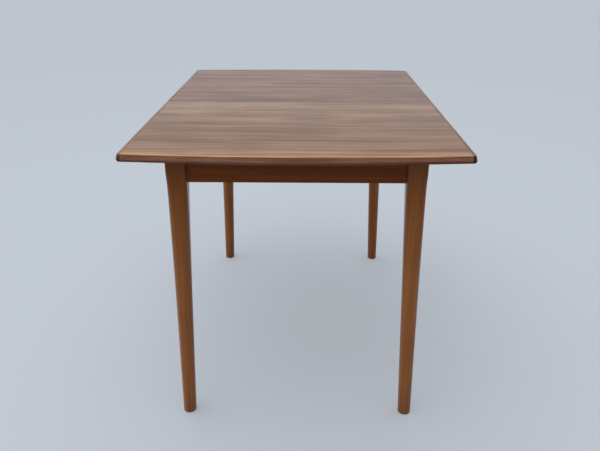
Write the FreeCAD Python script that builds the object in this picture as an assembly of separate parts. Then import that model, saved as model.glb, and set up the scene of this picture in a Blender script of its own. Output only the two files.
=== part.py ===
"""Small teak dining table whose top is two halves that meet at a seam across the middle.

Each half slides out on its own pair of grooved slides, so the top opens at the seam.
Millimetres. +X is across the table, +Y runs along it from the near end to the far end,
+Z is up. The origin is on the floor under the middle of the seam.
"""
import os
import FreeCAD
import Part
from FreeCAD import Vector

# ---------------------------------------------------------------- driving sizes
table_height = 740.0
top_width = 770.0
corner_half_length = 517.0      # seam to the corners of one half
end_bow = 17.0                  # how far the curved end stands past its corners
top_thickness = 18.0
seam_gap = 0.6                  # between the two halves when closed
lipping_width = 10.0            # solid edging round the veneered panels
edge_lean = 2.5                 # the edge leans out by this much below its top arris
edge_belly = 11.0               # depth of the widest line below the top surface
top_arris_radius = 1.5
under_arris_radius = 6.5        # most of the depth below the belly, so the edge turns under
plan_corner_radius = 6.0
slide_travel = 200.0            # how far each half moves out

leg_top_width = 46.5            # square block at the top of the leg
leg_block_radius = 6.0
leg_foot_width = 33.5
foot_bevel = 3.5
roundest = 0.985                # corner radius at most this share of the half width
leg_splay = 16.5                # outward move of the leg's centre line, in X and in Y
side_overhang = 89.0            # edge of the top to the outer face of the leg block
end_overhang = 57.0             # corner of the top to the outer face of the leg block
scoop_rise = 24.0               # the corners begin to ease this far above the aprons' lower edge
scoop_radius = 10.5             # corner radius at that edge, just inside the apron setback
round_by = 0.46                 # share of the shaft over which the square turns round
round_ease = 0.6                # below 1 it turns faster near the top
shaft_shares = (0.0, 0.05, 0.14, 0.26, 0.46, 0.72, 1.0)    # where the shaft's sections stand

apron_height = 68.0
apron_thickness = 20.0
apron_setback = 11.0            # leg face to apron face
tenon_thickness = 8.0
tenon_length = 15.0
tenon_shoulder = 10.0           # apron edge to tenon, above and below
sliding_gap = 0.4               # under the moving halves

bearer_width = 26.0
bearer_height = 40.0
bearer_share = 0.5              # how far out the bearers stand between the middle and the legs
bearer_top_gap = 2.0
groove_depth = 8.0
groove_height = 12.0
slide_width = 22.0
slide_height = 34.0
slide_inner_reach = 150.0       # past the seam, under the other half
slide_end_gap = 6.0             # slide to end apron when its half is fully out
tongue_clearance = 0.4
stop_clearance = 1.0
bearer_tenon_length = 8.0       # stub tenons into the end aprons
bearer_tenon_thickness = 12.0
bearer_tenon_shoulder = 8.0

cross_rail_width = 40.0
cross_rail_height = 18.0
block_leg = 62.0                # corner block, along each apron
block_height = 40.0
bolt_radius = 4.0
bolt_head_radius = 8.0
bolt_head_height = 5.0
bolt_length = 46.0
peg_radius = 4.0
peg_clearance = 0.3
peg_length = 26.0
peg_reach = 11.0
peg_share = 0.7                 # how far out the side pegs stand, of the half width
peg_end_room = 1.0              # hole beyond the peg's tip
screw_radius = 2.2
screw_head_radius = 4.2
screw_length = 46.0             # 12 mm of it in the top
screw_pitch = 85.0
first_screw = 30.0              # from the seam
screws_per_slide = 3
level_tolerance = 0.01          # an edge within this of a height lies at it
short_edge = 1.0                # anything taller than this is an upright edge
over_cut = 10.0                 # cutting shapes run past the wood by this much

# ---------------------------------------------------------------- worked-out sizes
frame_half_width = top_width / 2 - side_overhang
frame_half_length = corner_half_length - end_overhang
bearer_centre = frame_half_width * bearer_share
peg_offset = top_width / 2 * peg_share
top_underside = table_height - top_thickness
apron_top = top_underside - sliding_gap
apron_bottom = apron_top - apron_height
bearer_top = top_underside - bearer_top_gap
bearer_bottom = bearer_top - bearer_height
groove_middle = top_underside - slide_height / 2
apron_face = apron_setback + apron_thickness / 2      # leg face to apron middle
end_apron_y = frame_half_length - apron_face
side_apron_x = frame_half_width - apron_face
inner_half_length = end_apron_y - apron_thickness / 2
inner_half_width = side_apron_x - apron_thickness / 2
slide_outer_reach = inner_half_length - slide_travel - slide_end_gap   # under its own half


def box(x0, x1, y0, y1, z0, z1):
    return Part.makeBox(x1 - x0, y1 - y0, z1 - z0, Vector(x0, y0, z0))


def mirrored_y(shape):
    return shape.mirror(Vector(0, 0, 0), Vector(0, 1, 0))


def mirrored_x(shape):
    return shape.mirror(Vector(0, 0, 0), Vector(1, 0, 0))


def save(name, shape):
    shape.exportStep("parts/" + name + ".step")
    print(name, len(shape.Solids), "solids", round(shape.Volume / 1000.0, 1), "cm3")


# ---------------------------------------------------------------- the top
def half_outline(inset, z):
    """Plan of the far half, drawn in from its three outer edges by inset."""
    x = top_width / 2 - inset
    y_corner = corner_half_length - inset
    y_end = corner_half_length + end_bow - inset
    seam = seam_gap / 2
    a, b = Vector(-x, seam, z), Vector(x, seam, z)
    c, d = Vector(x, y_corner, z), Vector(-x, y_corner, z)
    arc = Part.Arc(c, Vector(0, y_end, z), d).toShape()
    return Part.Wire([Part.makeLine(a, b), Part.makeLine(b, c), arc, Part.makeLine(d, a)])


def outer_edges(shape, z):
    """Edges at height z that don't lie on the seam."""
    found = []
    for edge in shape.Edges:
        box_ = edge.BoundBox
        level = abs(box_.ZMin - z) < level_tolerance and abs(box_.ZMax - z) < level_tolerance
        if level and box_.YMax > seam_gap:
            found.append(edge)
    return found


def shaped_half():
    """The far half as one board: leaning edges, rounded arrises, rounded plan corners."""
    z_belly = table_height - edge_belly
    upper = Part.makeLoft([half_outline(0, z_belly), half_outline(edge_lean, table_height)],
                          True, True)
    lower_face = Part.Face(half_outline(0, top_underside))
    lower = lower_face.extrude(Vector(0, 0, z_belly - top_underside))
    board = upper.fuse(lower).removeSplitter()
    corners = [e for e in board.Edges
               if e.BoundBox.ZLength > short_edge and e.BoundBox.YMin > corner_half_length - lipping_width]
    board = board.makeFillet(plan_corner_radius, corners)
    board = board.makeFillet(top_arris_radius, outer_edges(board, table_height))
    return board.makeFillet(under_arris_radius, outer_edges(board, top_underside))


def top_pieces(board):
    """Veneered panel and its three solid lippings, cut from one shaped board."""
    x_in = top_width / 2 - lipping_width
    y_max = corner_half_length + end_bow + over_cut
    z_max = table_height + over_cut
    core = Part.Face(half_outline(lipping_width, top_underside - over_cut)).extrude(
        Vector(0, 0, top_thickness + 2 * over_cut))
    panel = board.common(core)
    rim = board.cut(core)
    right = rim.common(box(x_in, top_width, 0, y_max, 0, z_max))
    left = rim.common(box(-top_width, -x_in, 0, y_max, 0, z_max))
    end = rim.common(box(-x_in, x_in, corner_half_length / 2, y_max, 0, z_max))
    return panel, left, right, end


def peg(x, radius, y0, y1):
    z = table_height - top_thickness / 2
    return Part.makeCylinder(radius, y1 - y0, Vector(x, y0, z), Vector(0, 1, 0))


# ---------------------------------------------------------------- legs
def rounded_square(width, radius, cx, cy, z):
    h, r = width / 2, min(radius, width / 2 * roundest)
    k = r * (1 - 0.5 ** 0.5)
    edges = []
    sides = [(1, 0), (0, 1), (-1, 0), (0, -1)]
    for ux, uy in sides:
        vx, vy = -uy, ux
        start = Vector(cx + ux * h - vx * (h - r), cy + uy * h - vy * (h - r), z)
        stop = Vector(cx + ux * h + vx * (h - r), cy + uy * h + vy * (h - r), z)
        middle = Vector(cx + (ux + vx) * (h - k), cy + (uy + vy) * (h - k), z)
        after = Vector(cx + vx * h + ux * (h - r), cy + vy * h + uy * (h - r), z)
        edges += [Part.makeLine(start, stop), Part.Arc(stop, middle, after).toShape()]
    return Part.Wire(edges)


def leg_shape():
    """Far right leg: a square block between the aprons, rounding to a round tapered foot.

    The block's corners ease just above the aprons' lower edge, and go on easing below it.
    """
    cx = frame_half_width - leg_top_width / 2
    cy = frame_half_length - leg_top_width / 2
    scoop_top = apron_bottom + scoop_rise
    at_scoop_top = rounded_square(leg_top_width, leg_block_radius, cx, cy, scoop_top)
    at_apron_bottom = rounded_square(leg_top_width, scoop_radius, cx, cy, apron_bottom)
    block = Part.Face(at_scoop_top).extrude(Vector(0, 0, apron_top - scoop_top))
    scoop = Part.makeLoft([at_apron_bottom, at_scoop_top], True, True)
    sections = []
    square = scoop_radius / (leg_top_width / 2)
    for share in shaft_shares:
        z = apron_bottom + (foot_bevel - apron_bottom) * share
        width = leg_top_width + (leg_foot_width - leg_top_width) * share
        rounded = min(1.0, share / round_by) ** round_ease
        radius = width / 2 * (square + (1 - square) * rounded)
        move = leg_splay * share
        sections.append(rounded_square(width, radius, cx + move, cy + move, z))
    shaft = Part.makeLoft(sections, True, False)
    foot_x, foot_y = cx + leg_splay, cy + leg_splay
    sole_width = leg_foot_width - 2 * foot_bevel
    foot = Part.makeLoft([
        rounded_square(leg_foot_width, leg_foot_width / 2, foot_x, foot_y, foot_bevel),
        rounded_square(sole_width, sole_width / 2, foot_x, foot_y, 0)], True, True)
    return block.fuse([scoop, shaft, foot]).removeSplitter()


# ---------------------------------------------------------------- aprons
def end_apron():
    """Far apron with a tenon for each leg."""
    shoulder = frame_half_width - leg_top_width
    y0, y1 = end_apron_y - apron_thickness / 2, end_apron_y + apron_thickness / 2
    rail = box(-shoulder, shoulder, y0, y1, apron_bottom, apron_top)
    half = tenon_thickness / 2
    tenon = box(-shoulder - tenon_length, shoulder + tenon_length, end_apron_y - half,
                end_apron_y + half, apron_bottom + tenon_shoulder, apron_top - tenon_shoulder)
    return rail.fuse(tenon).removeSplitter()


def side_apron():
    """Right apron with a tenon for each leg."""
    shoulder = frame_half_length - leg_top_width
    x0, x1 = side_apron_x - apron_thickness / 2, side_apron_x + apron_thickness / 2
    rail = box(x0, x1, -shoulder, shoulder, apron_bottom, apron_top)
    half = tenon_thickness / 2
    tenon = box(side_apron_x - half, side_apron_x + half, -shoulder - tenon_length,
                shoulder + tenon_length, apron_bottom + tenon_shoulder, apron_top - tenon_shoulder)
    return rail.fuse(tenon).removeSplitter()


# ---------------------------------------------------------------- slides and bearers
def bearer():
    """Fixed bearer on the right: a stopped groove on each side, a stub tenon at each end."""
    x0, x1 = bearer_centre - bearer_width / 2, bearer_centre + bearer_width / 2
    bar = box(x0, x1, -inner_half_length, inner_half_length, bearer_bottom, bearer_top)
    tenon_half = bearer_tenon_thickness / 2
    tenon_end = inner_half_length + bearer_tenon_length
    tenon = box(bearer_centre - tenon_half, bearer_centre + tenon_half, -tenon_end, tenon_end,
                bearer_bottom + bearer_tenon_shoulder, bearer_top - bearer_tenon_shoulder)
    half = groove_height / 2
    outer_end = slide_outer_reach + slide_travel + stop_clearance
    inner_end = slide_inner_reach + stop_clearance
    near_groove = box(x1 - groove_depth, x1 + over_cut, -outer_end, inner_end,
                      groove_middle - half, groove_middle + half)
    far_groove = box(x0 - over_cut, x0 + groove_depth, -inner_end, outer_end,
                     groove_middle - half, groove_middle + half)
    grooved = bar.cut(near_groove).cut(far_groove)
    ends = tenon.cut(box(x0, x1, -inner_half_length, inner_half_length, 0, table_height))
    return grooved.fuse(ends).removeSplitter()


def slide(outer_side):
    """Right-hand slide of the near half (outer side of the bearer) or the far half (inner).

    It is screwed under its own half, and stands clear of the other half past the seam.
    """
    sign = 1 if outer_side else -1
    face = bearer_centre + sign * (bearer_width / 2 + tongue_clearance)
    tongue_end = bearer_centre + sign * (bearer_width / 2 - groove_depth + tongue_clearance)
    back = face + sign * slide_width
    y0, y1 = -slide_outer_reach, slide_inner_reach
    if not outer_side:
        y0, y1 = -slide_inner_reach, slide_outer_reach
    z0 = top_underside - slide_height
    body = box(min(face, back), max(face, back), y0, y1, z0, top_underside)
    relief_y0, relief_y1 = (-seam_gap / 2, y1) if outer_side else (y0, seam_gap / 2)
    body = body.cut(box(min(face, back), max(face, back), relief_y0, relief_y1,
                        top_underside - sliding_gap, top_underside))
    half = groove_height / 2 - tongue_clearance
    tongue = box(min(face, tongue_end), max(face, tongue_end), y0, y1,
                 groove_middle - half, groove_middle + half)
    return body.fuse(tongue).removeSplitter()


def screw(x, y, z_head, length):
    """Countersunk screw driven upwards, its head flush at z_head."""
    head = Part.makeCone(screw_head_radius, screw_radius, screw_head_radius - screw_radius,
                         Vector(x, y, z_head))
    shank = Part.makeCylinder(screw_radius, length, Vector(x, y, z_head))
    return head.fuse(shank).removeSplitter()


def slide_screws(outer_side):
    sign = 1 if outer_side else -1
    x = bearer_centre + sign * (bearer_width / 2 + tongue_clearance + slide_width / 2)
    y_sign = -1 if outer_side else 1
    made = []
    for side in (-1, 1):
        for step in range(screws_per_slide):
            y = y_sign * (first_screw + step * screw_pitch)
            made.append(screw(side * x, y, top_underside - slide_height, screw_length))
    return made


def cut_all(shape, tools):
    for tool in tools:
        shape = shape.cut(tool)
    return shape


# ---------------------------------------------------------------- corner blocks
def corner_block():
    """Far right block, glued across the corner behind the leg."""
    x, y = inner_half_width, inner_half_length
    z0 = apron_top - tenon_shoulder - block_height
    leg_in_x = frame_half_width - leg_top_width
    leg_in_y = frame_half_length - leg_top_width
    points = [Vector(x, y - block_leg, z0), Vector(x, leg_in_y, z0), Vector(leg_in_x, leg_in_y, z0),
              Vector(leg_in_x, y, z0), Vector(x - block_leg, y, z0)]
    points.append(points[0])
    return Part.Face(Part.makePolygon(points)).extrude(Vector(0, 0, block_height))


def leg_bolt():
    """Hanger bolt from the block into the leg's inner corner, with its nut."""
    z = apron_top - tenon_shoulder - block_height / 2
    middle_of_face = Vector(inner_half_width - block_leg / 2, inner_half_length - block_leg / 2, z)
    out = Vector(1, 1, 0).normalize()
    start = middle_of_face - out * bolt_head_height
    shank = Part.makeCylinder(bolt_radius, bolt_length, start, out)
    head = Part.makeCylinder(bolt_head_radius, bolt_head_height, start, out)
    return head.fuse(shank).removeSplitter()


def four_corners(shape):
    other_side = mirrored_x(shape)
    return [shape, other_side, mirrored_y(shape), mirrored_y(other_side)]


def main():
    os.makedirs("parts", exist_ok=True)

    board = shaped_half()
    panel, left, right, end = top_pieces(board)
    peg_places = (-peg_offset, 0.0, peg_offset)
    seam = seam_gap / 2
    pegs = [peg(x, peg_radius, -(peg_length - peg_reach), peg_reach) for x in peg_places]
    near_holes = [peg(x, peg_radius, -(peg_length - peg_reach), seam) for x in peg_places]
    far_holes = [peg(x, peg_radius + peg_clearance, -seam, peg_reach + peg_end_room) for x in peg_places]
    near_screws = slide_screws(True)
    far_screws = slide_screws(False)
    save("far_top_panel", cut_all(panel, far_holes + far_screws))
    save("near_top_panel", cut_all(mirrored_y(panel), near_holes + near_screws))
    save("seam_pegs", Part.makeCompound(pegs))
    save("far_left_lipping", left)
    save("far_right_lipping", right)
    save("far_end_lipping", end)
    save("near_left_lipping", mirrored_y(left))
    save("near_right_lipping", mirrored_y(right))
    save("near_end_lipping", mirrored_y(end))

    bolt = leg_bolt()
    leg = leg_shape()
    right_bearer = bearer()
    far_apron = end_apron().cut(right_bearer).cut(mirrored_x(right_bearer))
    right_apron = side_apron()
    leg = cut_all(leg, [far_apron, right_apron, bolt])
    save("far_right_leg", leg)
    save("far_left_leg", mirrored_x(leg))
    save("near_right_leg", mirrored_y(leg))
    save("near_left_leg", mirrored_x(mirrored_y(leg)))

    save("far_apron", far_apron)
    save("near_apron", mirrored_y(far_apron))
    save("right_apron", right_apron)
    save("left_apron", mirrored_x(right_apron))

    block = corner_block().cut(bolt)
    save("corner_blocks", Part.makeCompound(four_corners(block)))
    save("leg_bolts", Part.makeCompound(four_corners(bolt)))

    save("right_bearer", right_bearer)
    save("left_bearer", mirrored_x(right_bearer))
    rail = box(-inner_half_width, inner_half_width, -cross_rail_width / 2, cross_rail_width / 2,
               bearer_bottom - cross_rail_height, bearer_bottom)
    save("cross_rail", rail)

    near_slide = cut_all(slide(True), near_screws)
    far_slide = cut_all(slide(False), far_screws)
    save("near_right_slide", near_slide)
    save("near_left_slide", mirrored_x(near_slide))
    save("far_right_slide", far_slide)
    save("far_left_slide", mirrored_x(far_slide))
    save("near_slide_screws", Part.makeCompound(near_screws))
    save("far_slide_screws", Part.makeCompound(far_screws))


main()
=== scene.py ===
# %% [markdown]
# # A small teak table with a sliding two-part top
# The joinery comes ready made, one mesh for each piece of wood, at its real size and place.
# This script gives each piece its finish, makes the screws, bolts and pegs in detail, and sets
# up the light and the camera. Lengths are in metres. +X is to the right, +Y runs along the
# table from the near end to the far end, and +Z is up. The origin is on the floor, under the
# middle of the seam.

# %% Load the joinery
import math

import bpy
from mathutils import Matrix, Vector


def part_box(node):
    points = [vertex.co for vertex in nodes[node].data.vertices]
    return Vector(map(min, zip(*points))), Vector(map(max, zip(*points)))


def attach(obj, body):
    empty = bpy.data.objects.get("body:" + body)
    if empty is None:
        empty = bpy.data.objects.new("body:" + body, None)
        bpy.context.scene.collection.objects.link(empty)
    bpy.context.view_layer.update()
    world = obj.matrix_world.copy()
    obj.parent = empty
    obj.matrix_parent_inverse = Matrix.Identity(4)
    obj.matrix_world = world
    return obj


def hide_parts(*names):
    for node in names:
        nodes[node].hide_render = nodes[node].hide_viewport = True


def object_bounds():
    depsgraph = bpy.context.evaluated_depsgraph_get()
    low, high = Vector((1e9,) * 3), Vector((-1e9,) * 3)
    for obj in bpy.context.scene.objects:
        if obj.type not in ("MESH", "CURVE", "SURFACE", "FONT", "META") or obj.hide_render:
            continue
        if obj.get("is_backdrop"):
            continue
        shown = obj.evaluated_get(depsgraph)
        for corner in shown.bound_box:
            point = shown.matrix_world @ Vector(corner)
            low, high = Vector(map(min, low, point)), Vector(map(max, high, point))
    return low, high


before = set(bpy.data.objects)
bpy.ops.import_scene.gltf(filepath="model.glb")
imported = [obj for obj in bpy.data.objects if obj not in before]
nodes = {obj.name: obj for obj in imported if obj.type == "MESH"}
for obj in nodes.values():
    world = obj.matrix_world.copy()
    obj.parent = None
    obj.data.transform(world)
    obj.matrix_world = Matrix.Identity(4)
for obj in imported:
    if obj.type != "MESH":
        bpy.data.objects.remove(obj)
joinery_low, joinery_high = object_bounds()
MM = 0.001
closed_size = [round((high - low) / MM) for low, high in zip(joinery_low, joinery_high)]
print("pieces of joinery:", len(nodes), "closed size in mm:", closed_size)

# %% [markdown]
# ## Camera
# The table is seen from above one end, by someone standing. A camera can be made to follow a
# target, or it can be placed by its position and the way it faces. It is placed here, because
# a target would always sit in the middle of the view. The lens is as long as the sensor is
# wide, which gives a moderate view with little stretching at the edges.

# %% Place the camera
EYE = Vector((0.0245, -1.7334, 1.1247))
TURN = math.radians(-0.74)
LOOK_DOWN = math.radians(24.21)
TILT = math.radians(0.08)
SENSOR_MM = 36.0

camera_data = bpy.data.cameras.new("camera")
camera_data.sensor_width = SENSOR_MM
camera_data.lens = SENSOR_MM
camera = bpy.data.objects.new("camera", camera_data)
bpy.context.scene.collection.objects.link(camera)
level_part = math.cos(LOOK_DOWN)
facing = Vector((math.sin(TURN) * level_part, math.cos(TURN) * level_part, -math.sin(LOOK_DOWN)))
aim = facing.to_track_quat("-Z", "Y").to_matrix().to_4x4()
camera.matrix_world = Matrix.Translation(EYE) @ aim @ Matrix.Rotation(TILT, 4, "Z")
bpy.context.scene.camera = camera
print("camera faces", tuple(round(v, 3) for v in facing))

# %% [markdown]
# ## Two helpers for nodes
# A finish is a small network of shader nodes, and a shape that repeats is a small network of
# geometry nodes. Both could be drawn by hand in the node editor. They are written out here, so
# that every size and colour can be read. One function turns a hex colour into linear light,
# which is what the renderer works in. The other adds one node, sets its values and joins it to
# the nodes before it.


# %% Colour helper
def colour(hex_value):
    """An sRGB hex colour as linear red, green, blue and alpha."""
    channels = [int(hex_value[i : i + 2], 16) / 255 for i in (1, 3, 5)]
    linear = [c / 12.92 if c <= 0.04045 else ((c + 0.055) / 1.055) ** 2.4 for c in channels]
    return (*linear, 1.0)


print("middle grey in linear light:", round(colour("#808080")[0], 3))


# %% Node helper
def add(tree, kind, settings=None, **inputs):
    """Adds a node. An input is a value, a socket, or a node, whose first output is joined.

    Inputs go by name, with _ for a space, or by number, such as i0. A list joins one by one.
    """
    made = tree.nodes.new(kind)
    for name, value in (settings or {}).items():
        setattr(made, name, value)
    for name, value in inputs.items():
        key = int(name[1:]) if name[0] == "i" and name[1:].isdigit() else name.replace("_", " ")
        for one in value if isinstance(value, list) else [value]:
            if isinstance(one, bpy.types.Node):
                one = one.outputs[0]
            if isinstance(one, bpy.types.NodeSocket):
                tree.links.new(one, made.inputs[key])
            else:
                made.inputs[key].default_value = one
    return made


print("an input goes in by its name, or by its number as i0, i1 and so on")


# %% Material helper, and names for common nodes
def new_material(name):
    """An empty material with its Principled shader, ready for inputs."""
    material = bpy.data.materials.new(name)
    material.use_nodes = True
    return material, material.node_tree, material.node_tree.nodes["Principled BSDF"]


MATH = "ShaderNodeMath"
MIX = "ShaderNodeMix"
TIMES = {"operation": "MULTIPLY"}
TIMES_PLUS = {"operation": "MULTIPLY_ADD"}
ABSOLUTE = {"operation": "ABSOLUTE"}
print("short names stand for:", MATH, MIX)

# %% [markdown]
# ## Teak
# Teak is a golden brown wood with fine, straight, darker streaks where its growth layers meet
# the surface. A wave texture could draw lines on each face, but they would not meet at the
# edges. The real layers are cylinders round the middle of the trunk, so the pattern here is
# the distance from a line that runs along the grain, some way outside the board. The faces
# then show long lines and the ends show arcs, from one pattern. Each board has its own place
# in the trunk, given by a number, so no two pieces match.

# %% Where a board lies in the trunk
GRAIN_TURN = {
    "X": (0.0, 0.0, 0.0),
    "Y": (0.0, 0.0, math.radians(-90)),
    "Z": (0.0, math.radians(90), 0.0),
}
BOARD_STEP = Vector((0.37, 0.083, 0.061))


def grain_space(tree, grain, board):
    """Object coordinates turned so that X runs along the grain, moved to this board's place."""
    where = add(tree, "ShaderNodeTexCoord").outputs["Object"]
    turned = add(tree, "ShaderNodeMapping", Vector=where, Rotation=GRAIN_TURN[grain])
    return add(tree, "ShaderNodeMapping", Vector=turned, Location=BOARD_STEP * board)


print("grain directions:", list(GRAIN_TURN))

# %% Marks along the grain, and growth layers
BEND_SIZE = (60 * MM, 550 * MM, 1.0)
BEND = 28 * MM


def stretched_noise(tree, space, across, along, detail):
    """Noise whose marks are about `across` metres wide and `along` metres long."""
    size = (1 / along, 1 / across, 1 / across)
    squeezed = add(tree, "ShaderNodeMapping", Vector=space, Scale=size)
    return add(tree, "ShaderNodeTexNoise", Vector=squeezed, Scale=1.0, Detail=detail)


def growth_layers(tree, space, layer, heart):
    """0 to 1 across each growth layer, `layer` metres thick, round a heart line at `heart`."""
    bend = stretched_noise(tree, space, *BEND_SIZE)
    across = add(tree, "ShaderNodeVectorMath", TIMES, i0=space, i1=(0.0, 1.0, 1.0))
    far_off = {"operation": "DISTANCE"}
    distance = add(tree, "ShaderNodeVectorMath", far_off, i0=across, i1=(0.0, *heart))
    wandering = add(tree, MATH, TIMES_PLUS, i0=bend, i1=BEND, i2=distance.outputs["Value"])
    layers = add(tree, MATH, {"operation": "DIVIDE"}, i0=wandering, i1=layer)
    return add(tree, MATH, {"operation": "FRACT"}, i0=layers)


print("growth layers wander by up to", round(BEND / MM), "mm")

# %% [markdown]
# ## From pattern to finish
# Five things darken or lighten the wood: the growth layers, fine streaks about two
# millimetres wide, soft bands about a centimetre wide, slow drifts across a whole board, and
# patches that hands have rubbed. The real pores are a quarter of a millimetre wide, too fine
# to see at this distance, so the streaks are drawn about nine times as wide as that. All five
# are added up and run through three tones of the wood, dark to light.
#
# End grain soaks up more oil than the sides, so it is much darker. It could be a material of
# its own, but a rounded edge turns slowly from side to end, so the finish asks each point of
# the surface how far it faces along the grain. Oil fills the surface unevenly and hands polish
# it, so the gloss varies a little too, and the streaks are very slightly sunk.

# %% The patterns in a board
# Each size is the width of a mark, its length, and how much fine detail it has.
PATTERNS = {
    "streaks": (2.2 * MM, 160 * MM, 3.0),
    "bands": (11 * MM, 400 * MM, 2.0),
    "drifts": (55 * MM, 800 * MM, 1.0),
    "rubbed": (90 * MM, 130 * MM, 1.0),
}
SHARES = {"streaks": 0.80, "layers": 0.20, "drifts": 0.60, "bands": 0.85, "rubbed": 0.40}


def wood_patterns(tree, grain, board, layer, heart):
    """The five patterns in one board, each from 0 to 1 and 0.5 on average."""
    space = grain_space(tree, grain, board)
    parts = {name: stretched_noise(tree, space, *size) for name, size in PATTERNS.items()}
    parts["layers"] = growth_layers(tree, space, layer, heart)
    return parts


print("patterns in the wood, and their shares:", SHARES)


# %% The tones of a board
# Every pattern averages a half, so half of all the shares is taken away to begin with.
MIX_START = -0.5 * sum(SHARES.values())


def wood_tones(tree, parts, tones, contrast):
    """The patterns added up by their shares, as a run through dark, middle and light tones."""
    mix = MIX_START
    for name, share in SHARES.items():
        mix = add(tree, MATH, TIMES_PLUS, i0=parts[name], i1=share, i2=mix)
    spread = add(tree, MATH, TIMES_PLUS, i0=mix, i1=contrast, i2=0.5)
    ramp = add(tree, "ShaderNodeValToRGB", Fac=spread)
    stops = ramp.color_ramp.elements
    stops[0].color = colour(tones[0])
    stops[1].color = colour(tones[2])
    stops.new(0.5).color = colour(tones[1])
    return ramp


print("the sum of the patterns starts at", round(MIX_START, 3))

# %% Tints and end grain
MULTIPLY = {"data_type": "RGBA", "blend_type": "MULTIPLY"}
END_SHARPNESS = 5.0
# Oil in end grain darkens green and blue a little more than red, which keeps it brown.
END_GREEN = 1.11
END_BLUE = 1.17


def end_grain(tree, grain):
    """1 where a face is end grain, and 0 where it shows the side of the grain."""
    normal = add(tree, "ShaderNodeTexCoord").outputs["Normal"]
    facing_end = add(tree, "ShaderNodeSeparateXYZ", Vector=normal).outputs[grain]
    either_end = add(tree, MATH, ABSOLUTE, i0=facing_end)
    return add(tree, MATH, {"operation": "POWER"}, i0=either_end, i1=END_SHARPNESS)


def tint(material, share, shade):
    """Multiplies a material's base colour by shade, as far as share, a node, says."""
    tree = material.node_tree
    base = tree.nodes["Principled BSDF"].inputs["Base Color"]
    wood = base.links[0].from_socket
    mixed = add(tree, MIX, MULTIPLY, i0=share, i6=wood, i7=(*shade, 1.0))
    tree.links.new(mixed.outputs[2], base)


print("a face turned 45 degrees counts as end grain by", round(0.5 ** (END_SHARPNESS / 2), 2))

# %% The whole finish
WOOD_IOR = 1.5
ROUGH_SWING = 0.16
OPEN_END_ROUGH = 0.25
STREAK_DEPTH = 0.15 * MM
STREAK_RELIEF = 0.25


def finished_wood(name, grain, board, tones, layer, heart, contrast, rough, gloss, end_dark=0.16):
    """A wood and its finish. tones are dark, middle and light; gloss is the specular level."""
    material, tree, shader = new_material(name)
    parts = wood_patterns(tree, grain, board, layer, heart)
    tree.links.new(wood_tones(tree, parts, tones, contrast).outputs[0], shader.inputs["Base Color"])
    at_end = end_grain(tree, grain)
    tint(material, at_end, (end_dark, end_dark**END_GREEN, end_dark**END_BLUE))
    mean_rough = rough - ROUGH_SWING / 2
    uneven = add(tree, MATH, TIMES_PLUS, i0=parts["rubbed"], i1=ROUGH_SWING, i2=mean_rough)
    polished = add(tree, MATH, TIMES_PLUS, i0=parts["streaks"], i1=-ROUGH_SWING, i2=uneven)
    roughness = add(tree, MATH, TIMES_PLUS, i0=at_end, i1=OPEN_END_ROUGH, i2=polished)
    sunk = {"Strength": STREAK_RELIEF, "Distance": STREAK_DEPTH}
    relief = add(tree, "ShaderNodeBump", Height=parts["streaks"], **sunk)
    tree.links.new(roughness.outputs[0], shader.inputs["Roughness"])
    tree.links.new(relief.outputs["Normal"], shader.inputs["Normal"])
    shader.inputs["IOR"].default_value = WOOD_IOR
    shader.inputs["Specular IOR Level"].default_value = gloss
    return material


print("streaks are sunk by", round(STREAK_DEPTH * STREAK_RELIEF / MM, 3), "mm")


# %% Putting a finish on a piece of joinery
def finish(node, material):
    """Gives a piece of joinery its material."""
    mesh = nodes[node].data
    mesh.materials.clear()
    mesh.materials.append(material)


print("pieces of joinery to finish:", sum(node.type == "MESH" for node in nodes.values()))

# %% [markdown]
# ## The two half tops
# The top is veneered: thin sheets of teak on a stable board, with the grain across the table,
# alongside the seam. The sheets are sliced square to the growth layers, so their lines are
# close together and nearly parallel, which puts the heart line far from the board. Both halves
# could share one material, but the far half is a little redder and more strongly marked, so
# each has its own.
#
# Each half is covered with several sheets, called leaves. Beside the seam, a wide band of the
# near half is painted paler and bluer, as a painted sheen, and a narrow band of the far half is
# painted a shade darker, as a dimmer painted reflection. The last leaf, at the near end, is more
# golden. Years of polish have gathered in a thin dark line along the seam. The line is drawn
# on the top surface only, so the meeting edges are clean when the halves are pulled apart.

# %% Veneer
VENEER_TONES = {
    "near": ("#734F34", "#886445", "#9C7B5E"),
    "far": ("#704D37", "#866149", "#9A7762"),
}
VENEER_CONTRAST = {"near": 2.6, "far": 3.2}
# Oiled and polished with a cloth: a satin sheen, smooth enough to pick up the pale surround.
VENEER = {"layer": 7.5 * MM, "heart": (0.9, 0.30), "rough": 0.36, "gloss": 0.32}
FIRST_PANEL = 3

veneers = {}
for place, (half, tones) in enumerate(VENEER_TONES.items()):
    look = {"tones": tones, "contrast": VENEER_CONTRAST[half], **VENEER}
    name = f"oiled_teak_veneer_{half}"
    veneers[half] = finished_wood(name, "X", FIRST_PANEL + place, **look)
    finish(f"{half}_top_panel", veneers[half])
print("veneers laid:", list(veneers))

# %% Painted sheen at the seam, and the end leaf
# Painted sheen: a band beside the seam, paler and bluer on the near half, darker on the far.
SEAM_SHEEN_WIDTH = {"near": 270 * MM, "far": 45 * MM}
SEAM_SHEEN_SHADE = {"near": (1.26, 1.37, 1.66), "far": (0.92, 0.92, 0.92)}
END_LEAF = 487 * MM
END_LEAF_FADE = 8 * MM
END_LEAF_SHADE = {"near": (1.60, 1.50, 1.26), "far": (1.10, 1.06, 1.02)}


def from_seam(tree):
    """How far a point is from the seam, in metres."""
    where = add(tree, "ShaderNodeTexCoord").outputs["Object"]
    along = add(tree, "ShaderNodeSeparateXYZ", Vector=where).outputs["Y"]
    return add(tree, MATH, ABSOLUTE, i0=along)


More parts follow.
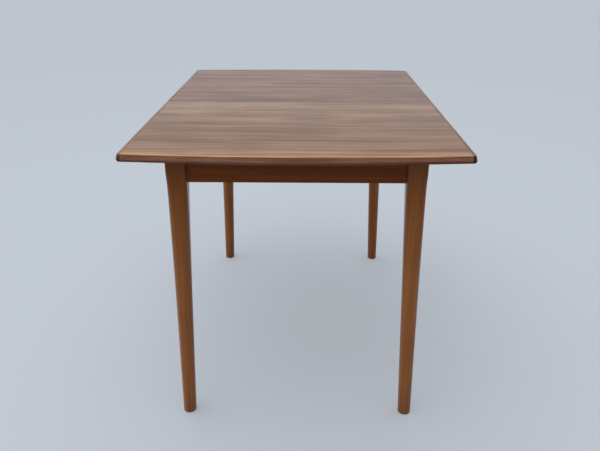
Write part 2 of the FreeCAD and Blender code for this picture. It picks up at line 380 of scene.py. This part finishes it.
def paint_seam_sheen_and_end_leaf(half, material):
    """Paints sheen on a band beside the seam, and tints the leaf at the end of one half."""
    tree = material.node_tree
    away = from_seam(tree)
    width = SEAM_SHEEN_WIDTH[half]
    fading = {"From_Min": width / 2, "From_Max": width, "To_Min": 1.0, "To_Max": 0.0}
    # Painted sheen beside the seam, lighter on the near half and darker on the far half.
    tint(material, add(tree, "ShaderNodeMapRange", Value=away, **fading), SEAM_SHEEN_SHADE[half])
    rising = {"From_Min": END_LEAF, "From_Max": END_LEAF + END_LEAF_FADE}
    tint(material, add(tree, "ShaderNodeMapRange", Value=away, **rising), END_LEAF_SHADE[half])


for half, veneer in veneers.items():
    paint_seam_sheen_and_end_leaf(half, veneer)
print("the leaf at each end starts", round(END_LEAF / MM), "mm from the seam")

# %% The line of polish
POLISH_LINE = 1.5 * MM
POLISH_SHADE = (0.22, 0.18, 0.15)
TOP_FACE = 0.5


def draw_polish_line(material):
    """Darkens a thin line along the seam, on the top surface only."""
    tree = material.node_tree
    normal = add(tree, "ShaderNodeTexCoord").outputs["Normal"]
    lift = add(tree, "ShaderNodeSeparateXYZ", Vector=normal).outputs["Z"]
    on_top = add(tree, MATH, {"operation": "GREATER_THAN"}, i0=lift, i1=TOP_FACE)
    near_seam = add(tree, MATH, {"operation": "LESS_THAN"}, i0=from_seam(tree), i1=POLISH_LINE)
    tint(material, add(tree, MATH, TIMES, i0=near_seam, i1=on_top), POLISH_SHADE)


for veneer in veneers.values():
    draw_polish_line(veneer)
print("the line of polish is", 2 * POLISH_LINE / MM, "mm wide when the top is closed")

# %% [markdown]
# ## The edges of the top
# Veneer would chip at an edge, so strips of solid teak are glued round it, rounded above and
# below. The strip at the near end is more golden than the rest. The side strips run right
# through to the ends, so their end grain shows at the corners, nearly black on the right and
# less so on the left. The upright faces are painted redder and darker than the top, as painted
# shade, and the rounded underside is painted darker still. A painted border would slide off
# the rounding, so the finish asks each point how far it faces up.

# %% The wood of the edge strips
END_STRIP_TONES = ("#966749", "#BA8861", "#D0A57D")
END_GRAIN_DARK = {"left": 0.62, "right": 0.12, "end": 0.16}
# Solid teak, oiled: its grain is more open than the veneer's, so it shines less.
LIPPING = {"layer": 4 * MM, "heart": (0.7, 0.2), "contrast": 2.2, "rough": 0.40, "gloss": 0.2}
print("the end grain keeps this share of the colour:", END_GRAIN_DARK)

# %% Painted shade on upright faces and underside
# Painted shade: the more a face turns from up, the darker it is painted, the underside most.
UPRIGHT = {"From_Min": 0.96, "From_Max": 0.35}
UPRIGHT_PAINTED_SHADE = (0.54, 0.43, 0.46)
UNDERSIDE = {"From_Min": 0.25, "From_Max": -0.40}
UNDERSIDE_PAINTED_SHADE = (0.56, 0.43, 0.38)


def paint_shade_on_sides(material):
    """Paints shade on the upright faces, redder and darker, and more on the rounded underside."""
    tree = material.node_tree
    normal = add(tree, "ShaderNodeTexCoord").outputs["Normal"]
    lift = add(tree, "ShaderNodeSeparateXYZ", Vector=normal).outputs["Z"]
    tint(material, add(tree, "ShaderNodeMapRange", Value=lift, **UPRIGHT), UPRIGHT_PAINTED_SHADE)
    tint(material, add(tree, "ShaderNodeMapRange", Value=lift, **UNDERSIDE), UNDERSIDE_PAINTED_SHADE)


print("upright faces keep this share of red, green and blue:", UPRIGHT_PAINTED_SHADE)

# %% Finish the edge strips
FIRST_STRIP = 10
STRIP_GRAIN = {"left": "Y", "right": "Y", "end": "X"}
strips = [(half, edge) for half in veneers for edge in STRIP_GRAIN]
for place, (half, edge) in enumerate(strips):
    tones = END_STRIP_TONES if (half, edge) == ("near", "end") else VENEER_TONES[half]
    look = {"tones": tones, "end_dark": END_GRAIN_DARK[edge], **LIPPING}
    name = f"oiled_teak_lipping_{half}_{edge}"
    strip_wood = finished_wood(name, STRIP_GRAIN[edge], FIRST_STRIP + place, **look)
    paint_shade_on_sides(strip_wood)
    finish(f"{half}_{edge}_lipping", strip_wood)
print("edge strips finished:", len(strips))

# %% [markdown]
# ## Legs
# A leg is one piece of solid teak, with its grain from top to foot. It is more golden than the
# top. Its head is painted darker and richer, as painted shade where the top shades it. The foot
# is a little darker towards the floor, and the rim of the foot darker still. Over the oil it has
# a thin film of wax, which hardly shows from straight ahead and glints along the rounded
# corners. Raising the wood's own gloss would give the glint too, but it would grey the whole
# leg, so the film is the shader's coat, with a low IOR.

# %% The wood and wax of the legs
# Oiled and waxed teak: warm and nearly matt from ahead, with a glint at the corners.
LEG = {
    "tones": ("#82461E", "#9E5F2E", "#B27640"),
    "layer": 5 * MM,
    "heart": (0.25, 0.12),
    "contrast": 0.8,
    "rough": 0.38,
    "gloss": 0.06,
}
WAX_FILM = {"Coat Weight": 0.75, "Coat IOR": 1.30, "Coat Roughness": 0.22}
print("the film of wax covers", WAX_FILM["Coat Weight"], "of a leg")

# %% Head and foot of a leg
# Each of these fades in from the first height to the second.
# Painted shade: the head of a leg is painted darker where the top shades it.
PAINTED_HEAD_SHADE_HEIGHTS = {"From_Min": 0.42, "From_Max": 0.70}
PAINTED_HEAD_SHADE = (0.71, 0.55, 0.15)
# The foot darkens towards the floor, and the rim of the foot more.
FOOT_FADE = {"From_Min": 100 * MM, "From_Max": 10 * MM}
FOOT_FADE_SHADE = (0.83, 0.82, 0.91)
FOOT_RIM = {"From_Min": 8 * MM, "From_Max": 4 * MM}
FOOT_RIM_SHADE = (0.52, 0.56, 0.80)


def shade_leg(material):
    """Paints shade on the head of a leg, and darkens the foot towards the floor and its rim more."""
    tree = material.node_tree
    where = add(tree, "ShaderNodeTexCoord").outputs["Object"]
    height = add(tree, "ShaderNodeSeparateXYZ", Vector=where).outputs["Z"]
    tint(material, add(tree, "ShaderNodeMapRange", Value=height, **PAINTED_HEAD_SHADE_HEIGHTS), PAINTED_HEAD_SHADE)
    tint(material, add(tree, "ShaderNodeMapRange", Value=height, **FOOT_FADE), FOOT_FADE_SHADE)
    tint(material, add(tree, "ShaderNodeMapRange", Value=height, **FOOT_RIM), FOOT_RIM_SHADE)


print("the head darkens from", PAINTED_HEAD_SHADE_HEIGHTS["From_Min"], "m up to", PAINTED_HEAD_SHADE_HEIGHTS["From_Max"], "m")

# %% Finish the legs
FIRST_LEG = 20
corners = ("near_left", "near_right", "far_left", "far_right")
for place, corner in enumerate(corners):
    leg_wood = finished_wood(f"oiled_teak_leg_{corner}", "Z", FIRST_LEG + place, **LEG)
    for socket, value in WAX_FILM.items():
        leg_wood.node_tree.nodes["Principled BSDF"].inputs[socket].default_value = value
    shade_leg(leg_wood)
    finish(f"{corner}_leg", leg_wood)
print("legs finished:", len(corners))

# %% [markdown]
# ## Aprons
# The four boards that join the legs are teak too, with their grain along their length. They
# could be the legs' material turned on its side, but they stand in the shade of the top and
# have no wax. They are duller, and their colour is painted darker and redder, as painted shade
# from the top, so they have a look of their own.

# %% Aprons
# Teak that was oiled and never polished: dull and even, with tones painted dark as painted shade.
APRON_LOOK_PAINTED_SHADE = {
    "tones": ("#6D3513", "#84441D", "#9A5727"),
    "layer": 5 * MM,
    "heart": (0.3, 0.2),
    "contrast": 1.0,
    "rough": 0.45,
    "gloss": 0.10,
}
FIRST_APRON = 30
APRON_GRAIN = {"near": "X", "far": "X", "left": "Y", "right": "Y"}
for place, (side, grain) in enumerate(APRON_GRAIN.items()):
    shaded_apron_wood = finished_wood(f"oiled_teak_apron_painted_shade_{side}", grain, FIRST_APRON + place, **APRON_LOOK_PAINTED_SHADE)
    finish(f"{side}_apron", shaded_apron_wood)
print("aprons finished:", len(APRON_GRAIN))

# %% [markdown]
# ## Running gear
# The bearers, slides, rail and corner blocks stay out of sight, and are beech: pale, hard and
# planed, but left bare, because oil would make the slides drag. It could be a plain pale
# colour, but it shows when the top is pulled apart, so it is made as the teak is, with fainter
# figure, a dry surface and end grain that is only a little darker.

# %% Beech
# Planed and bare: pale and dry, with no polish to catch the light.
BEECH = {
    "tones": ("#B98E66", "#CFA67C", "#DDB98F"),
    "layer": 3 * MM,
    "heart": (0.2, 0.1),
    "contrast": 0.8,
    "rough": 0.62,
    "gloss": 0.3,
    "end_dark": 0.8,
}
FIRST_BEECH = 40
BEECH_GRAIN = {
    "left_bearer": "Y",
    "right_bearer": "Y",
    "near_left_slide": "Y",
    "near_right_slide": "Y",
    "far_left_slide": "Y",
    "far_right_slide": "Y",
    "cross_rail": "X",
    "corner_blocks": "X",
    "seam_pegs": "Y",
}
beech = {}
for place, (node, grain) in enumerate(BEECH_GRAIN.items()):
    beech[node] = finished_wood(f"planed_beech_{node}", grain, FIRST_BEECH + place, **BEECH)
    finish(node, beech[node])
print("beech pieces finished:", len(beech))

# %% [markdown]
# ## Zinc-plated steel
# Screws and bolts are steel with a thin coat of zinc, which dulls it to a soft grey with a
# faint yellow cast and a grain of fine crystals. A picture of zinc could be wrapped round
# them, but noise needs no unwrapping. The real crystals are well under a millimetre across,
# too fine to show, so they are drawn 1.5 mm across. Metals keep the shader's usual IOR and
# take their look from colour and roughness.

# %% Zinc
# Plated in a bath and left alone: a soft grey that shines in small patches.
CRYSTAL = 1.5 * MM
ZINC_ROUGH = 0.28
ZINC_ROUGH_SWING = 0.2
zinc, zinc_tree, zinc_shader = new_material("zinc_plated_steel")
zinc_space = add(zinc_tree, "ShaderNodeTexCoord").outputs["Object"]
crystals = add(zinc_tree, "ShaderNodeTexNoise", Vector=zinc_space, Scale=1 / CRYSTAL)
zinc_ramp = add(zinc_tree, "ShaderNodeValToRGB", Fac=crystals)
zinc_ramp.color_ramp.elements[0].color = colour("#A8A392")
zinc_ramp.color_ramp.elements[1].color = colour("#C9C6BB")
zinc_rough = add(zinc_tree, MATH, TIMES_PLUS, i0=crystals, i1=ZINC_ROUGH_SWING, i2=ZINC_ROUGH)
zinc_tree.links.new(zinc_ramp.outputs["Color"], zinc_shader.inputs["Base Color"])
zinc_tree.links.new(zinc_rough.outputs[0], zinc_shader.inputs["Roughness"])
zinc_shader.inputs["Metallic"].default_value = 1.0
print("zinc crystals are drawn", CRYSTAL / MM, "mm across")

# %% [markdown]
# ## Pieces that repeat
# There are twelve screws, four bolts and three pegs. Each could be modelled once and copied by
# hand, but then a change of size would have to be made to every copy. Instead, each kind is
# drawn once, as a tree of geometry nodes with its sizes as named inputs, and the tree sets a
# copy on every place it is given. Each drawing stands on its place and goes up from it. The
# result is then kept as a plain mesh, so that nothing is left to work out later.

# %% Starting a tree
CONE = "GeometryNodeMeshCone"
MINUS = {"operation": "SUBTRACT"}


def new_tree(name, sizes):
    """A tree with one named input for each size. Gives the tree and its inputs."""
    tree = bpy.data.node_groups.new(name, "GeometryNodeTree")
    sockets = tree.interface
    sockets.new_socket("Places", in_out="INPUT", socket_type="NodeSocketGeometry")
    for size in sizes:
        sockets.new_socket(size, in_out="INPUT", socket_type="NodeSocketFloat")
    sockets.new_socket("Pieces", in_out="OUTPUT", socket_type="NodeSocketGeometry")
    return tree, add(tree, "NodeGroupInput").outputs


def raise_to(tree, height, shape):
    """Moves a shape up, so that it starts at this height."""
    place = add(tree, "ShaderNodeCombineXYZ", Z=height)
    return add(tree, "GeometryNodeTransform", Geometry=shape, Translation=place)


print("round parts are drawn with", CONE)


# %% Ending a tree
def end_tree(tree, shapes, turn, material):
    """Sets the joined shapes on every place, makes the copies real and gives the material."""
    one = add(tree, "GeometryNodeJoinGeometry", Geometry=shapes)
    places = next(n for n in tree.nodes if n.bl_idname == "NodeGroupInput").outputs["Places"]
    copies = add(tree, "GeometryNodeInstanceOnPoints", Points=places, Instance=one, Rotation=turn)
    real = add(tree, "GeometryNodeRealizeInstances", Geometry=copies)
    finished = add(tree, "GeometryNodeSetMaterial", Geometry=real, Material=material)
    add(tree, "NodeGroupOutput", i0=finished)
    print(tree.name, "nodes:", len(tree.nodes))


print("every tree ends as real faces with a material")


# %% Growing a tree into a mesh
def grow(name, places, tree, sizes):
    """Runs a tree on these places with these sizes, and keeps the result as a plain mesh."""
    piece = bpy.data.objects.new(name, bpy.data.meshes.new(name))
    piece.data.from_pydata(places, [], [])
    bpy.context.scene.collection.objects.link(piece)
    modifier = piece.modifiers.new("shape", "NODES")
    modifier.node_group = tree
    for socket in tree.interface.items_tree:
        if socket.name in sizes:
            modifier[socket.identifier] = sizes[socket.name]
    shaped = piece.evaluated_get(bpy.context.evaluated_depsgraph_get())
    mesh = bpy.data.meshes.new_from_object(shaped)
    piece.modifiers.remove(modifier)
    # A node that makes a shape also leaves an empty place for a material.
    while None in mesh.materials[:]:
        mesh.materials.pop(index=mesh.materials[:].index(None))
    piece.data = mesh
    print(name, "places:", len(places), "faces:", len(mesh.polygons))
    return piece


print("a grown piece keeps no modifier, only its mesh")

# %% [markdown]
# ## Screws
# A slotted, countersunk wood screw holds each slide under its half of the top, three to a
# slide. It has a conical head that sinks flush, a plain shank, and a thread that winds round a
# thinner core to the point. It could be turned as one outline, but a thread winds, so it is
# put together from cones, with the slot cut out of the head.

# %% Sizes of a screw
SCREW = {
    "Head Radius": 4.2 * MM,
    "Head Height": 2.0 * MM,
    "Slot Width": 1.1 * MM,
    "Slot Depth": 1.1 * MM,
    "Shank Radius": 2.2 * MM,
    "Shank End": 16 * MM,
    "Core Radius": 1.5 * MM,
    "Thread Height": 0.45 * MM,
    "Pitch": 2.0 * MM,
    "Tip Start": 40 * MM,
    "Length": 46 * MM,
}
screw, size = new_tree("slotted_wood_screw", SCREW)
wide, thin, core = size["Head Radius"], size["Shank Radius"], size["Core Radius"]
print("screws are", round(SCREW["Length"] / MM), "mm long")

# %% Slotted head
# The cutter is longer than the head is wide, so that the slot runs right across.
SLOT_REACH = 2.5
head = add(screw, CONE, Radius_Bottom=wide, Radius_Top=thin, Depth=size["Head Height"])
slot_length = add(screw, MATH, TIMES, i0=wide, i1=SLOT_REACH)
twice_deep = add(screw, MATH, TIMES, i0=size["Slot Depth"], i1=2.0)
slot_size = add(screw, "ShaderNodeCombineXYZ", X=slot_length, Y=size["Slot Width"], Z=twice_deep)
cutter = add(screw, "GeometryNodeMeshCube", Size=slot_size)
cut_away = {"operation": "DIFFERENCE", "solver": "EXACT"}
slotted = add(screw, "GeometryNodeMeshBoolean", cut_away, i0=head, i1=cutter)
print("slots are", round(SCREW["Slot Width"] / MM, 1), "mm wide")

# %% Shank, core and point
shaft = []
for start, end, lower, upper in (
    ("Head Height", "Shank End", thin, thin),
    ("Shank End", "Tip Start", core, core),
    ("Tip Start", "Length", core, 0.0),
):
    length = add(screw, MATH, MINUS, i0=size[end], i1=size[start])
    solid = add(screw, CONE, Radius_Bottom=lower, Radius_Top=upper, Depth=length)
    shaft.append(raise_to(screw, size[start], solid))
print("parts of the shaft:", len(shaft))

# %% [markdown]
# ## Threads
# A thread could be faked with bump, but then the outline of the screw would stay smooth. It is
# a spiral with a small triangle swept along it, which is close to how a real one is rolled.
# It dwindles at both ends. Each screw stops at its own angle, so the slots are turned at
# random, always the same way from the same seed.

# %% Thread
SPIRAL_STEPS = 16
FULL_UNTIL = 0.44
RUN_OUT = 0.15


def thread(tree, radius, height, pitch, depth):
    """A triangle swept along a spiral, dwindling at both of its ends."""
    turns = add(tree, MATH, {"operation": "DIVIDE"}, i0=height, i1=pitch)
    sizes = {"Rotations": turns, "Start_Radius": radius, "End_Radius": radius, "Height": height}
    path = add(tree, "GeometryNodeCurveSpiral", Resolution=SPIRAL_STEPS, **sizes)
    upright = add(tree, "GeometryNodeSetCurveNormal", {"mode": "Z_UP"}, Curve=path)
    triangle = add(tree, "GeometryNodeCurvePrimitiveCircle", Resolution=3, Radius=depth)
    along = add(tree, "GeometryNodeSplineParameter").outputs["Factor"]
    from_middle = add(tree, MATH, MINUS, i0=along, i1=0.5)
    either_way = add(tree, MATH, ABSOLUTE, i0=from_middle)
    fading = {"i1": FULL_UNTIL, "i2": 0.5, "i3": 1.0, "i4": RUN_OUT}
    swell = add(tree, "ShaderNodeMapRange", i0=either_way, **fading)
    ends = {"Profile_Curve": triangle, "Scale": swell, "Fill_Caps": True}
    return add(tree, "GeometryNodeCurveToMesh", Curve=upright, **ends)


thread_length = add(screw, MATH, MINUS, i0=size["Tip Start"], i1=size["Shank End"])
wood_thread = thread(screw, core, thread_length, size["Pitch"], size["Thread Height"])
set_thread = raise_to(screw, size["Shank End"], wood_thread)
turns = (SCREW["Tip Start"] - SCREW["Shank End"]) / SCREW["Pitch"]
print("turns in a screw's thread:", round(turns))

# %% Finish the screw
TURN_SEED = 7
angle = add(screw, "FunctionNodeRandomValue", i2=0.0, i3=math.tau, Seed=TURN_SEED).outputs[1]
screw_turn = add(screw, "ShaderNodeCombineXYZ", Z=angle)
end_tree(screw, [slotted, *shaft, set_thread], screw_turn, zinc)

# %% Set the screws
for half in ("near", "far"):
    node = f"{half}_slide_screws"
    low, high = (Vector(corner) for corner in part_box(node))
    inset = SCREW["Head Radius"]
    first, last = low.y + inset, high.y - inset
    rows = (first, (first + last) / 2, last)
    places = [(side * (high.x - inset), y, low.z) for side in (-1, 1) for y in rows]
    screws = grow(f"{half}_wood_screws", places, screw, SCREW)
    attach(screws, f"{half}_half")
    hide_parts(node)

# %% [markdown]
# ## Bolts in the corners
# A hanger bolt joins each leg to its corner block. It is a rod with a thread, screwed into the
# inner corner of the leg, and a nut on a washer pulls the block against it. A nut could be
# modelled face by face, but a real one starts as a six-sided bar whose corners are cut back by
# a cone on a lathe, so it is made the same way: a prism and a cone, and what they share.

# %% Sizes of a bolt
BOLT = {
    "Rod Radius": 3.55 * MM,
    "Thread Height": 0.42 * MM,
    "Pitch": 1.25 * MM,
    "Length": 46 * MM,
    "Nut Radius": 7.5 * MM,
    "Nut Start": 0.9 * MM,
    "Washer Start": 4.0 * MM,
    "Washer Radius": 8.0 * MM,
    "Seat": 5.0 * MM,
}
bolt, size = new_tree("hanger_bolt", BOLT)
radius, length = size["Rod Radius"], size["Length"]
rod = add(bolt, CONE, Radius_Bottom=radius, Radius_Top=radius, Depth=length)
bolt_thread = thread(bolt, radius, length, size["Pitch"], size["Thread Height"])
print("turns in a bolt's thread:", round(BOLT["Length"] / BOLT["Pitch"]))

# %% Nut
NUT_SIDES = 6
ROUND_SIDES = 48
# The chamfering cone's two radii, as shares of the nut's.
NARROW = 0.88
FLARE = 1.6
tall = add(bolt, MATH, MINUS, i0=size["Washer Start"], i1=size["Nut Start"])
hexagon = {"Vertices": NUT_SIDES, "Radius_Bottom": size["Nut Radius"], "Radius_Top": size["Nut Radius"]}
prism = add(bolt, CONE, Depth=tall, **hexagon)
narrow = add(bolt, MATH, TIMES, i0=size["Nut Radius"], i1=NARROW)
flare = add(bolt, MATH, TIMES, i0=size["Nut Radius"], i1=FLARE)
chamfer = add(bolt, CONE, Vertices=ROUND_SIDES, Radius_Bottom=narrow, Radius_Top=flare, Depth=tall)
common = {"operation": "INTERSECT", "solver": "EXACT"}
cut_nut = add(bolt, "GeometryNodeMeshBoolean", common, i1=[prism, chamfer])
nut = raise_to(bolt, size["Nut Start"], cut_nut)
across_flats = 2 * BOLT["Nut Radius"] * math.cos(math.pi / NUT_SIDES)
print("nuts are", round(across_flats / MM, 1), "mm across the flats")

# %% Washer
thick = add(bolt, MATH, MINUS, i0=size["Seat"], i1=size["Washer Start"])
ring = {"Radius_Bottom": size["Washer Radius"], "Radius_Top": size["Washer Radius"]}
disc = add(bolt, CONE, Vertices=ROUND_SIDES, Depth=thick, **ring)
washer = raise_to(bolt, size["Washer Start"], disc)
print("washers are", round(2 * BOLT["Washer Radius"] / MM), "mm across")

# %% Turn the bolts outwards
# The rod is drawn upright, so it is laid down and turned to face away from the middle.
middle = add(bolt, "GeometryNodeInputPosition")
spot = add(bolt, "ShaderNodeSeparateXYZ", Vector=middle).outputs
sign_x = add(bolt, MATH, {"operation": "SIGN"}, i0=spot["X"])
sign_y = add(bolt, MATH, {"operation": "SIGN"}, i0=spot["Y"])
outward = add(bolt, MATH, {"operation": "ARCTAN2"}, i0=sign_y, i1=sign_x)
bolt_turn = add(bolt, "ShaderNodeCombineXYZ", Y=math.pi / 2, Z=outward)
end_tree(bolt, [rod, bolt_thread, nut, washer], bolt_turn, zinc)

# %% Set the bolts
# The rod's end stops this far short of the corner of the space that is kept for the bolts.
ROD_SPACE = 4.0 * MM
low, high = (Vector(corner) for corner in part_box("leg_bolts"))
reach = (BOLT["Length"] + ROD_SPACE) * math.sqrt(0.5)
start_x, start_y = high.x - reach, high.y - reach
level_z = (low.z + high.z) / 2
places = [(x * start_x, y * start_y, level_z) for x in (-1, 1) for y in (-1, 1)]
bolts = grow("hanger_bolts", places, bolt, BOLT)
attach(bolts, "frame")
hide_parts("leg_bolts")

# %% [markdown]
# ## Pegs at the seam
# Three fluted beech pegs stick out of the near half and slip into the far one, which keeps the
# two level. The flutes let air and glue out, and the ends are tapered to find their holes. A
# plain cylinder would do for the strength of it, but the pegs show when the top is pulled
# apart, so a star-shaped outline is swept along each, narrowing at the ends.

# %% Draw a peg
PEG = {"Radius": 4.0 * MM, "Flute Depth": 0.35 * MM, "Taper": 1.5 * MM, "Length": 26 * MM}
FLUTES = 20
STATIONS = 53
END_GIRTH = 0.72
peg, size = new_tree("fluted_peg", PEG)
valley = add(peg, MATH, MINUS, i0=size["Radius"], i1=size["Flute Depth"])
rim = {"Inner_Radius": valley, "Outer_Radius": size["Radius"]}
fluted = add(peg, "GeometryNodeCurveStar", Points=FLUTES, **rim)
peg_end = add(peg, "ShaderNodeCombineXYZ", Z=size["Length"])
axis = add(peg, "GeometryNodeCurvePrimitiveLine", Start=(0.0, 0.0, 0.0), End=peg_end)
stations = add(peg, "GeometryNodeResampleCurve", Curve=axis, Count=STATIONS)
along = add(peg, "GeometryNodeSplineParameter").outputs["Length"]
from_end = add(peg, MATH, MINUS, i0=size["Length"], i1=along)
nearest = add(peg, MATH, {"operation": "MINIMUM"}, i0=along, i1=from_end)
taper = {"i1": 0.0, "i2": size["Taper"], "i3": END_GIRTH, "i4": 1.0}
girth = add(peg, "ShaderNodeMapRange", i0=nearest, **taper)
peg_body = {"Profile_Curve": fluted, "Scale": girth, "Fill_Caps": True}
swept = add(peg, "GeometryNodeCurveToMesh", Curve=stations, **peg_body)
end_tree(peg, [swept], (-math.pi / 2, 0.0, 0.0), beech["seam_pegs"])

# %% Set the pegs
low, high = (Vector(corner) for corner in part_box("seam_pegs"))
outer_x = high.x - PEG["Radius"]
level_z = (low.z + high.z) / 2
places = [(x, low.y, level_z) for x in (-outer_x, 0.0, outer_x)]
pegs = grow("fluted_pegs", places, peg, PEG)
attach(pegs, "near_half")
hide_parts("seam_pegs")

# %% [markdown]
# ## Floor
# The floor is plain and pale, and so wide that its edge is lost in the distance from every
# side. The soft shadow under the table would come out too dark under this light. Stronger
# lamps would lift it, but would bleach the wood as well. So the floor gives off a little light
# of its own, but only to the eye and in reflections, and none of it lights the wood.

# %% Floor
FLOOR_HALF = 40.0
FLOOR_ROUGH = 0.9
FLOOR_GLOSS = 0.2
floor_mesh = bpy.data.meshes.new("floor")
signs = ((-1, -1), (1, -1), (1, 1), (-1, 1))
floor_mesh.from_pydata([(x * FLOOR_HALF, y * FLOOR_HALF, 0.0) for x, y in signs], [], [(0, 1, 2, 3)])
floor = bpy.data.objects.new("floor", floor_mesh)
bpy.context.scene.collection.objects.link(floor)
# Matt paint on concrete: no shine, and a slightly blue grey.
floor_paint, floor_tree, floor_shader = new_material("pale_floor_paint")
floor_shader.inputs["Base Color"].default_value = colour("#9BA5B1")
floor_shader.inputs["Emission Color"].default_value = colour("#C7C8CB")
floor_shader.inputs["Roughness"].default_value = FLOOR_ROUGH
floor_shader.inputs["Specular IOR Level"].default_value = FLOOR_GLOSS
floor_mesh.materials.append(floor_paint)
floor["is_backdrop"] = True
print("floor is", 2 * FLOOR_HALF, "m across")

# %% What only the eye sees
SHADOW_FILL = 0.40
PLUS = {"operation": "ADD"}


def seen_directly(tree):
    """1 for what the eye sees, also in a reflection or through glass, and 0 for other light."""
    ray = add(tree, "ShaderNodeLightPath").outputs
    direct = add(tree, MATH, PLUS, i0=ray["Is Camera Ray"], i1=ray["Is Glossy Ray"])
    return add(tree, MATH, PLUS, i0=direct, i1=ray["Is Transmission Ray"])


fill = add(floor_tree, MATH, TIMES, i0=seen_directly(floor_tree), i1=SHADOW_FILL)
floor_tree.links.new(fill.outputs[0], floor_shader.inputs["Emission Strength"])
print("shadows are filled by", SHADOW_FILL)

# %% [markdown]
# ## Light
# Nearly all the light comes from a pale surround, as it does out of doors on a dull day:
# brightest overhead and to the sides, and dimmest at the near end, which lets the faces that
# turn to that end fall a little darker than the ones beside them. It is brighter on the left
# than on the right. Window-like lamps could do the same, but they would show as bright patches
# on the polished top from some sides. One broad lamp overhead adds a slight direction.
#
# The eye does not see this surround. It sees a plain pale backdrop, directly and in
# reflections, so that no side of the table is seen against the dim end.

# %% Round the horizon
# Colours from the near end (0) through the sides (0.5) to the far end (1).
HORIZON = (
    (0.00, "#4C5056"),
    (0.12, "#565A60"),
    (0.50, "#E2E6EB"),
    (0.80, "#A9B5C2"),
    (1.00, "#98A7B8"),
)
world = bpy.data.worlds.new("pale_surround")
bpy.context.scene.world = world
world.use_nodes = True
sky = world.node_tree
toward = add(sky, "ShaderNodeTexCoord").outputs["Generated"]
way = add(sky, "ShaderNodeSeparateXYZ", Vector=toward).outputs
near_to_far = add(sky, "ShaderNodeMapRange", Value=way["Y"], From_Min=-1.0)
round_about = add(sky, "ShaderNodeValToRGB", Fac=near_to_far)
stops = round_about.color_ramp.elements
for number, (place, hex_value) in enumerate(HORIZON):
    stop = stops[number] if number < 2 else stops.new(place)
    stop.position = place
    stop.color = colour(hex_value)
print("colours round the horizon:", len(HORIZON))

# %% Overhead
OVERHEAD = colour("#FCFCFC")
OVERHEAD_FROM = 0.9
COLOURS = {"data_type": "RGBA"}
smooth = {"interpolation_type": "SMOOTHSTEP"}
upward = add(sky, "ShaderNodeMapRange", smooth, Value=way["Z"], From_Max=OVERHEAD_FROM)
surround = add(sky, MIX, COLOURS, i0=upward, i6=round_about, i7=OVERHEAD).outputs[2]
print("light is fully overhead above", round(math.degrees(math.asin(OVERHEAD_FROM))), "degrees")

# %% Brighter on the left, and plain to the eye
BACKDROP = colour("#BEC6D0")
LEFT_SHARE = 0.50
seen = seen_directly(sky)
left_to_right = {"From_Min": -1.0, "To_Min": 1 + LEFT_SHARE, "To_Max": 1 - LEFT_SHARE}
level = add(sky, "ShaderNodeMapRange", Value=way["X"], **left_to_right)
strength = add(sky, MIX, {"data_type": "FLOAT"}, i0=seen, i2=level, i3=1.0)
shown = add(sky, MIX, COLOURS, i0=seen, i6=surround, i7=BACKDROP).outputs[2]
background = sky.nodes["Background"].inputs
sky.links.new(strength.outputs[0], background["Strength"])
sky.links.new(shown, background["Color"])
print("light from the left and right:", 1 + LEFT_SHARE, 1 - LEFT_SHARE)

# %% Overhead lamp
LAMP_PLACE = (-0.4, -0.2, 3.2)
LAMP_SIZE = 3.0
LAMP_WATTS = 20.0
lamp_data = bpy.data.lights.new("overhead", "AREA")
lamp_data.size = LAMP_SIZE
lamp_data.energy = LAMP_WATTS
lamp = bpy.data.objects.new("overhead", lamp_data)
table_middle = Vector((0.0, 0.0, joinery_high.z / 2))
lamp_aim = (table_middle - Vector(LAMP_PLACE)).to_track_quat("-Z", "Y").to_matrix().to_4x4()
lamp.matrix_world = Matrix.Translation(LAMP_PLACE) @ lamp_aim
bpy.context.scene.collection.objects.link(lamp)
bpy.context.scene.view_settings.view_transform = "Standard"
print("lamp of", LAMP_WATTS, "W,", LAMP_SIZE, "m square")

# %% [markdown]
# ## Sizes, and the end
# The finished model must stay the size of its joinery. Both boxes could be compared by eye,
# but a millimetre doesn't show, so they are measured and printed.

# %% Print the sizes
table_low, table_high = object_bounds()
final_size = [round((high - low) / MM) for low, high in zip(table_low, table_high)]
print("finished size in mm:", final_size)
